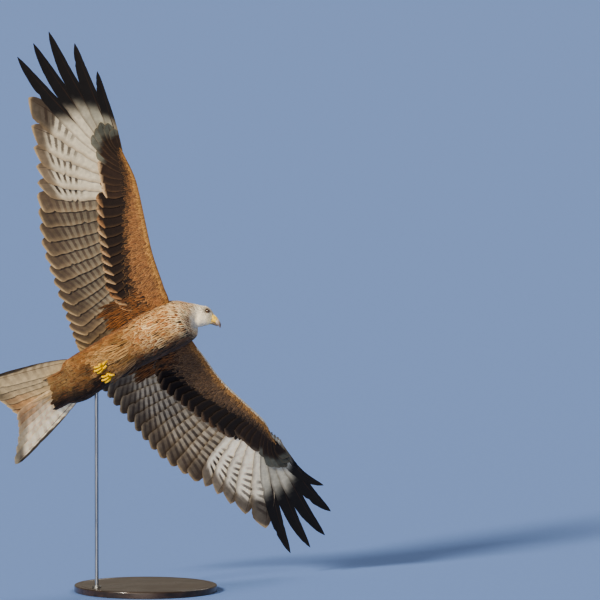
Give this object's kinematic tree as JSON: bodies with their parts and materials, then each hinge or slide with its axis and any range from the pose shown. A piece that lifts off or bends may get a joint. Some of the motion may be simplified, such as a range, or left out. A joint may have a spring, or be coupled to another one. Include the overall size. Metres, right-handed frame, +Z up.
{
  "type": "red kite bird, life-size still model",
  "caption": "Life-size still model of a red kite in a banked glide, wings and forked tail spread, held by a plain stand with a round base and a rod.",
  "frame": {"origin": "centre of the underside of the stand's round base", "axes": "+Z up; the bird heads towards +X and climbs, its left wing reaches down and back towards +Y, and its underside faces -Y"},
  "size_m": [0.9513, 0.6782, 1.5066],
  "materials": {
    "body_feather": "soft overlapping feathers, rufous and buff with dark streaks",
    "head_feather": "fine short feathers, whitish with brown streaks",
    "wing_feather": "flight feathers, pale and barred with black fingers",
    "tail_feather": "tail feathers, pale cream below and rufous above",
    "yellow_skin": "waxy scaled skin",
    "bill_horn": "smooth horn",
    "claw_horn": "smooth black horn",
    "eye": "wet, clear",
    "stand_wood": "satin black lacquer",
    "stand_steel": "satin"
  },
  "bodies": {
    "root": {"torso": "body_feather", "neck": "head_feather", "head": "head_feather", "cere": "yellow_skin", "bill_upper": "bill_horn", "bill_lower": "bill_horn", "eye_left": "eye", "eye_right": "eye", "wing_left": "wing_feather", "wing_right": "wing_feather", "tail": "tail_feather", "leg_left": "yellow_skin", "leg_right": "yellow_skin", "stand_base": "stand_wood", "stand_rod": "stand_steel", "claw_left_1": "claw_horn", "claw_left_2": "claw_horn", "claw_left_3": "claw_horn", "claw_left_4": "claw_horn", "claw_right_1": "claw_horn", "claw_right_2": "claw_horn", "claw_right_3": "claw_horn", "claw_right_4": "claw_horn"}
  },
  "joints": []
}
